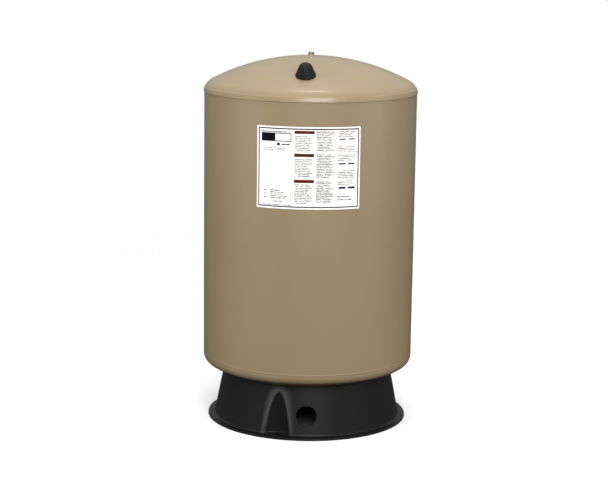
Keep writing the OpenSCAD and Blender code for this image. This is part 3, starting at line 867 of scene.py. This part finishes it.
# %% [markdown]
# Where a pocket meets the wall at a wide angle its lip is round, and where
# the two run nearly alongside each other, at the mouth's top, it is crisp. So
# the width of the smooth minimum follows the local angle between them. The
# inner skin is pressed in by the same pockets, one wall thickness wider.

# %% Pockets
LIP_ROUND, LIP_LEAST = 26.0, 2.2
OUTER_SHARE = 0.3


def turned_from(middle, turn):
    """The angle from one direction to another, between minus and plus pi."""
    return (turn - middle + pi) % (2 * pi) - pi


def soft_min(a, b, reach):
    """The smaller of two, with a round transition this wide."""
    h = max(0.0, min(1.0, 0.5 + 0.5 * (b - a) / reach))
    return b + (a - b) * h - reach * h * (1 - h)


def pocket_at(turn, radius):
    """Distance from the tank's axis to a pocket's wall and the width of the
    round on its lip, or None beside it."""
    for middle in POCKET_TURNS:
        off = turned_from(middle, turn)
        if abs(off) < asin(radius / POCKET_RING) - 0.0005:
            aside = POCKET_RING * sin(off)
            half = sqrt(radius ** 2 - aside ** 2)
            away = POCKET_RING * cos(off) - half
            slope = aside * (POCKET_RING * cos(off) / half - 1) / away
            corner = atan(hypot(slope, tan(WALL_LEAN)))
            return away, max(LIP_LEAST, LIP_ROUND * tan(corner / 2) * sin(corner))
    return None


def pressed(height, here, turn):
    """Distance from the axis of a point of the stand, with the pockets in."""
    straight = wall_at(max(height, 0.0))
    outside = here > straight - OUTER_SHARE * STAND_T
    pocket = pocket_at(turn, POCKET_R if outside else POCKET_R + STAND_T)
    in_seat = height > seat_at(here, SEAT_T) - 0.05 and not outside
    if pocket is None or here > flat_r - 0.1 or in_seat:
        return here
    if outside and height <= FLANGE_T + 0.01:
        share = (flat_r - here) / (flat_r - blend_x)
        return here + (soft_min(FOOT_R, *pocket) - FOOT_R) * max(0.0, min(1.0, share))
    base = wall_at(max(height, FLANGE_T)) if outside else straight - wall_inset
    return here + soft_min(base, *pocket) - base


for vert in stand.verts:
    here = reach_of(vert)
    pull(vert, pressed(vert.co.z / MM, here, turn_of(vert)) / here)
print("stand: pockets pressed in at", [round(degrees(t) + 90, 1) for t in POCKET_TURNS])

# %% [markdown]
# The pipe hole and the three anchor holes are drilled after moulding, with
# square edges, so here a boolean is right. The manifold solver needs closed
# meshes, which the spun ones are, and takes a fraction of a second.

# %% Drilled holes
def drill(radius, length, matrix, steps):
    """A closed cylinder to cut with."""
    bm = bmesh.new()
    bmesh.ops.create_cone(bm, cap_ends=True, segments=steps, radius1=radius * MM,
                          radius2=radius * MM, depth=length * MM, matrix=matrix)
    return bm


bits = [drill(HOLE_R, 60, Matrix.Translation((0, -FOOT_R * MM, HOLE_Z * MM))
              @ Matrix.Rotation(pi / 2, 4, "X"), 96)]
for turn in POCKET_TURNS:
    bits.append(drill(ANCHOR_R, 30, Matrix.Translation(
        (ANCHOR_RING * MM * cos(turn), ANCHOR_RING * MM * sin(turn), 0.0)), 40))
bit_object = as_object("drill_bits", joined(*bits))
blank = as_object("stand_blank", stand)
cut = blank.modifiers.new("holes", "BOOLEAN")
cut.operation, cut.object, cut.solver = "DIFFERENCE", bit_object, "MANIFOLD"
bpy.context.view_layer.update()
drilled = bmesh.new()
drilled.from_mesh(blank.evaluated_get(bpy.context.evaluated_depsgraph_get()).to_mesh())
for spent in (blank, bit_object):
    bpy.data.objects.remove(spent)
print(f"stand: {len(drilled.faces)} faces after the holes")

# %% [markdown]
# Behind the wall, two upright ribs beside each pocket carry the seat. Each
# is a cube whose corners go from the wall to the rib's depth, and up into
# the seat.

# %% Ribs
RIB_T, RIB_DEPTH, RIB_OFF = 3.5, 18.0, radians(41.3)
rib_top = seat_at(wall_at(130) - 8, SEAT_T / 2)
for middle in POCKET_TURNS:
    for side in (-1, 1):
        rib = bmesh.ops.create_cube(drilled, size=1.0)["verts"]
        for vert in rib:
            height = rib_top if vert.co.z > 0 else 0.0
            out = wall_at(height) - (STAND_T / 2 if vert.co.x > 0 else STAND_T + RIB_DEPTH)
            if vert.co.z > 0 and vert.co.x < 0:
                height = seat_at(out, SEAT_T / 2)
            vert.co = Vector((out * MM, vert.co.y * RIB_T * MM, height * MM))
        bmesh.ops.rotate(drilled, verts=rib, cent=(0, 0, 0),
                         matrix=Matrix.Rotation(middle + side * RIB_OFF, 3, "Z"))
print(f"stand: {len(drilled.faces)} faces with {2 * len(POCKET_TURNS)} ribs")

# %% [markdown]
# The pockets' lips are paler than the wall where they catch the light. Lights
# alone didn't give it, so it is a painted highlight: each point near a mouth
# gets a number that falls off with its distance from the mouth's curve, fast
# inside the pocket and slowly outside it, and the finish reads that number.

# %% Painted highlight on the lips
FADE_OUT, FADE_IN, FADE_CURVE = 26.0, 5.0, 1.6
MOUTH_STEPS, SKIN_DEPTH, NEAR_MOUTH = 60, 2.5, 0.3
mouth_top = FLANGE_T + POCKET_DEPTH / tan(WALL_LEAN)


def mouth_at(height):
    """Half the angle a pocket's mouth spans on the wall at a height."""
    wall = wall_at(height)
    ratio = (wall ** 2 + POCKET_RING ** 2 - POCKET_R ** 2) / (2 * wall * POCKET_RING)
    return acos(min(1.0, ratio))


mouth = []
for k in range(MOUTH_STEPS + 1):
    height = mouth_top - (mouth_top - FLANGE_T) * (k / MOUTH_STEPS) ** 2
    mouth.append((mouth_at(height) * wall_at(height), height))


def lip_highlight_at(height, here, turn):
    """How much painted highlight a point of the stand gets, from nothing to one."""
    off = min(abs(turned_from(middle, turn)) for middle in POCKET_TURNS)
    wall = wall_at(height)
    if off > NEAR_MOUTH or height < FLANGE_T + 2 or here > RIM_R - 2:
        return 0.0
    if here < min(wall, (pocket_at(turn, POCKET_R) or (wall,))[0]) - SKIN_DEPTH:
        return 0.0
    gap = min(hypot(off * wall - aside, height - z) for aside, z in mouth)
    inside = height < mouth_top and off < mouth_at(height)
    fade = FADE_IN if inside else FADE_OUT * (0.4 + 0.6 * height / mouth_top)
    return max(0.0, 1.0 - gap / fade) ** FADE_CURVE


# Each point's share of the painted highlight on the pockets' lips.
lip_highlight = drilled.verts.layers.float.new("lip_highlight")
for vert in drilled.verts:
    vert[lip_highlight] = lip_highlight_at(vert.co.z / MM, reach_of(vert), turn_of(vert))
stand_piece = piece("moulded_stand", drilled, "vessel", ["stand"], 40)
stand_plastic.on(stand_piece)

# %% [markdown]
# ## The label
#
# A printed sheet of film on the shell. It starts as a flat grid with its own
# UV map, and is then bent round the tank, so the print is laid out flat, in
# millimetres from the sheet's lower left corner, and follows the curve. Then
# solidify gives it a second skin. It still works with the flat grid's
# normals, since normal_update() isn't called after the bend, so that skin
# lies 0.15 mm along the tank's height and not deeper.

# %% Label sheet
LABEL_W, LABEL_H, LABEL_TURN = 292.0, 226.0, radians(-0.7)
LABEL_Z = HIGH_TANGENT - 179.0
FILM_R, SKIN_STEP = TANK_R + 0.22, 0.15
sheet = bmesh.new()
sheet.loops.layers.uv.new("print")
bmesh.ops.create_grid(sheet, x_segments=96, y_segments=4, size=0.5, calc_uvs=True)
for vert in sheet.verts:
    turn = LABEL_TURN - pi / 2 + vert.co.x * LABEL_W / TANK_R
    vert.co = Vector((FILM_R * MM * cos(turn), FILM_R * MM * sin(turn),
                      (LABEL_Z + vert.co.y * LABEL_H) * MM))
bmesh.ops.solidify(sheet, geom=sheet.faces[:], thickness=SKIN_STEP * MM)
depths = [reach_of(vert) for vert in sheet.verts]
print(f"label: between {min(depths):.2f} and {max(depths):.2f} mm from the axis")
label = piece("print_label", sheet, "vessel", ["label"])

# %% [markdown]
# The print is plain: a field is a rectangle, and small print is a stack of
# thin strips, each of its own length and broken along it, which reads as set
# lines from where the camera stands.

# %% Label print
PAPER = paint(252, 252, 252)
label_film = Finish("label_film", PAPER, 0.32, Specular_IOR_Level=0.4)
uv = label_film.node("ShaderNodeUVMap", uv_map="print")
across = label_film.axis(uv, "X") * LABEL_W
up = label_film.axis(uv, "Y") * LABEL_H


def field(left, right, low, high):
    """A rectangle on the label, as a mask, in millimetres."""
    return (across > left) * (across < right) * (up > low) * (up < high)


def lines(left, right, low, high, seed, pitch=4.6, share=0.42, ragged=0.35):
    """A column of set lines: share is a line's part of its pitch, and ragged
    the part of the width that a line may fall short by."""
    row = label_film.maths("FLOOR", (up - low) / pitch)
    within = label_film.maths("FRACT", (up - low) / pitch)
    draw = label_film.node("ShaderNodeTexWhiteNoise", {"W": row + seed}, noise_dimensions="1D")
    end = right - (right - left) * ragged * draw
    breaks = label_film.noise(210.0, 0.0, (1.0, 1.0, 1.4)) < 0.56
    strips = (within < share) * (across < end) * field(left, right, low, high)
    return strips * (0.35 + 0.65 * breaks)


print("label: print areas are field and lines")

# %% [markdown]
# The inks go on one over another, as on a press: frame, heading block and
# coloured headings, then columns of grey lines, and last the small dark marks
# and rules. The film has a painted glow, to make it whiter than the lamps do.

# %% Inks
NAVY, BRICK, OCHRE = paint(10, 11, 30), paint(104, 26, 12), paint(80, 42, 16)
GREY, SLATE, FRAME_INK = paint(92, 92, 98), paint(40, 42, 56), paint(14, 14, 19)
PAINTED_FILM_GLOW = 0.22
inks = [
    (field(4.4, 287.6, 4.4, 221.6) - field(7.6, 284.4, 7.6, 218.4), FRAME_INK),
    (field(13.5, 98.8, 184.6, 208), NAVY),
    (field(54, 96.6, 187, 205.8), PAPER),
    (field(58.6, 67, 173.8, 181.2), NAVY),
    (lines(70.7, 96.9, 175.4, 180.2, 3, 4.8, 0.8, 0.05), SLATE),
    (lines(12, 97.5, 209.8, 214.2, 5, 4.4, 0.6, 0.02), GREY),
    (lines(17, 97, 161, 170.2, 8, 4.6, 0.34, 0.3), GREY),
    (lines(40, 91, 28.5, 52.6, 11, 5.2, 0.42, 0.4), SLATE),
    (lines(21.7, 36, 28.5, 52.6, 17, 10.4, 0.24, 0.3), SLATE),
    (field(97.8, 98.6, 24.8, 55), GREY),
    (lines(40.9, 77.6, 18.6, 23.4, 19, 4.8, 0.5, 0.1), GREY),
    (lines(13.8, 100.8, 9.4, 13.4, 23, 4, 0.5, 0), GREY),
    (field(107, 162, 207.2, 215.6), BRICK),
    (field(107, 162, 144.2, 153.2), OCHRE),
    (field(107, 162, 72.8, 81.6), BRICK),
]
columns = [
    (108.5, 160, 162, 204, 29),
    (108.5, 160, 90, 141, 31),
    (108.5, 160, 16, 70, 37),
    (168, 219, 162, 215.6, 41, 4.4, 0.5),
    (168, 219, 88, 154, 43, 4.4, 0.5),
    (168, 219, 18, 80, 47, 4.4, 0.5),
    (226, 280, 199, 217, 53),
    (226, 279, 162, 176, 59),
    (226, 280, 134, 153, 61),
    (226, 281, 87, 107, 67),
    (226, 281, 68, 79, 71),
    (226, 280, 25, 42, 73, 8, 0.4),
]
inks += [(lines(*column), GREY) for column in columns]
inks += [
    (field(230, 248, 191.2, 194.6) + field(256, 275, 191.2, 194.6), SLATE),
    (field(230, 249, 123.4, 127.6) + field(256, 276, 123.4, 127.6), SLATE),
    (field(231, 250, 56.4, 62.4) + field(257, 277, 56.4, 62.4), SLATE),
    (field(105, 283.5, 158, 158.8) + field(105, 283.5, 84.2, 85), GREY),
]
colour = PAPER
for area, ink in inks:
    colour = label_film.blend(area, colour, ink)
# Painted glow: the film and its inks give off light, though they are no lamp.
label_film.set({"Base Color": colour, "Roughness": 0.28 + 0.08 * label_film.noise(60.0),
                "Emission Color": colour, "Emission Strength": PAINTED_FILM_GLOW})
label_film.on(label)
print("label:", len(inks), "areas of ink")

# %% [markdown]
# ## What the photograph doesn't show
#
# The diaphragm, liner and fittings keep their CAD shapes, which are plain
# turned parts, and get finishes with their own grain.

# %% Hidden parts
rubber, _ = drifting("black_rubber", paint(30, 30, 31), paint(24, 24, 25), paint(40, 39, 38),
                     0.7, 80.0, 3.0, Specular_IOR_Level=0.35)
rubber.bump(rubber.noise(400.0), 0.00005)
rubber.on(nodes["diaphragm"], nodes["core_seal"], nodes["cap_seal"], nodes["inlet_seal"])

liner_plastic, haze = drifting("liner_plastic", paint(206, 210, 212), paint(196, 202, 206),
                               paint(216, 218, 218), 0.45, 12.0)
liner_plastic.bump(haze, 0.0004)
liner_plastic.on(nodes["liner"])

seal_plastic, _ = drifting("seal_plastic", paint(236, 234, 228), paint(228, 226, 218),
                           paint(240, 238, 232), 0.4, 500.0)
seal_plastic.on(nodes["core_washer"])

stainless.on(nodes["inlet_spout"], nodes["inlet_locknut"], nodes["inlet_elbow"])
zinc.on(nodes["clench_ring"])
enamel.on(nodes["valve_boss"])
print("hidden parts have their finishes")

# %% [markdown]
# ## Floor and light
#
# The photograph has a white studio sweep. A white disc of floor fades out
# into the white of the world, so no edge shows. It is hidden from diffuse and
# glossy rays, or it would light the black stand from below. A round grey disc
# under the tank is painted shade, which is what shows through the pipe hole.

# %% Floor
FLOOR_R, FADE_FROM, FADE_TO = 3.2, 1.2, 3.0
FLOOR_WHITE = paint(250, 250, 250)
SHADE_DISC_R, PAINTED_SHADE_GREY = 0.255, paint(105, 105, 105)
disc = bmesh.new()
bmesh.ops.create_circle(disc, cap_ends=True, segments=96, radius=FLOOR_R)
floor = as_object("studio_floor", disc)

floor_finish = Finish("studio_floor", FLOOR_WHITE, 0.9, Specular_IOR_Level=0.1)
x, y = [floor_finish.axis(floor_finish.place(), letter) for letter in "XY"]
ring = floor_finish.maths("SQRT", x * x + y * y)
fade = floor_finish.node("ShaderNodeMapRange", {"Value": ring, "From Min": FADE_FROM,
                                                "From Max": FADE_TO})
# Painted shade: inside the stand the floor is grey, standing in for its shade.
floor_finish.set({"Base Color": floor_finish.blend(ring < SHADE_DISC_R, FLOOR_WHITE, PAINTED_SHADE_GREY)})
clear = floor_finish.node("ShaderNodeBsdfTransparent")
sweep = Wire(floor_finish, floor_finish.shader.outputs["BSDF"])
mixed = floor_finish.node("ShaderNodeMixShader", {0: fade, 1: sweep, 2: clear})
floor_finish.feed(floor_finish.tree.nodes["Material Output"], {"Surface": mixed})
floor_finish.on(floor)
floor.visible_diffuse = floor.visible_glossy = False
print(f"floor: {FLOOR_R} m, fades from {FADE_FROM} to {FADE_TO} m")

# %% [markdown]
# The world is plain white where the camera sees it, also through the faded
# rim of the floor. As a light it is dimmer: almost dark from below and
# brighter from above, as in a studio with a white ceiling, so the stand and
# the underside of the tank keep their shade.

# %% World
SKY_FROM, SKY_TO = -0.35, 0.55
SKY_LOW, SKY_HIGH = 0.03, 0.66
world = bpy.data.worlds.new("studio")
scene.world = world
world.use_nodes = True
sky = Nodes(world.node_tree)
upward = sky.axis(sky.node("ShaderNodeTexCoord", output="Generated"), "Z")
dim = sky.node("ShaderNodeMapRange", {"Value": upward, "From Min": SKY_FROM, "From Max": SKY_TO,
                                      "To Min": SKY_LOW, "To Max": SKY_HIGH},
               interpolation_type="SMOOTHSTEP")
seen = sky.maths("MAXIMUM", sky.node("ShaderNodeLightPath", output="Is Camera Ray"),
                 sky.node("ShaderNodeLightPath", output="Transparent Depth"))
level = sky.node("ShaderNodeMapRange", {"Value": seen, "To Min": dim, "To Max": 1.0})
sky.feed(world.node_tree.nodes["Background"],
         {"Color": (1.0, 1.0, 1.0, 1.0), "Strength": level})
print(f"world: {SKY_LOW} from below, {SKY_HIGH} from above, 1 to the camera")

# %% [markdown]
# A wide key stands in front of the tank and over the camera. A small light
# straight above the dome adds shine to its shoulder. Three large fills, over
# the tank and to its two sides, light the coat but are kept out of its
# reflections, where their outlines would show.

# %% Lights
def softbox(name, place, target, width, depth, power, reflected):
    """A rectangular light that faces a point."""
    data = bpy.data.lights.new(name, "AREA")
    data.shape, data.size, data.size_y, data.energy = "RECTANGLE", width, depth, power
    made = bpy.data.objects.new(name, data)
    scene.collection.objects.link(made)
    facing = (Vector(target) - Vector(place)).to_track_quat("-Z", "Y")
    made.matrix_world = Matrix.Translation(place) @ facing.to_matrix().to_4x4()
    made.visible_glossy = reflected
    print(f"{name}: {power} W")


softbox("shoulder_strip", (0.06, 0.3, 3.4), (0.06, 0.3, 0.0), 0.42, 0.4, 11.0, True)
softbox("front_key", (0.6, -4.6, 2.7), (0.0, 0.0, 0.55), 2.6, 1.8, 190.0, True)
softbox("top_fill", (0.0, -0.3, 4.1), (0.0, -0.3, 0.0), 2.6, 2.6, 68.0, False)
softbox("left_fill", (-3.4, -1.6, 1.1), (0.0, 0.0, 0.6), 2.4, 2.0, 62.0, False)
softbox("right_fill", (3.4, -1.6, 1.1), (0.0, 0.0, 0.6), 2.4, 2.0, 42.0, False)
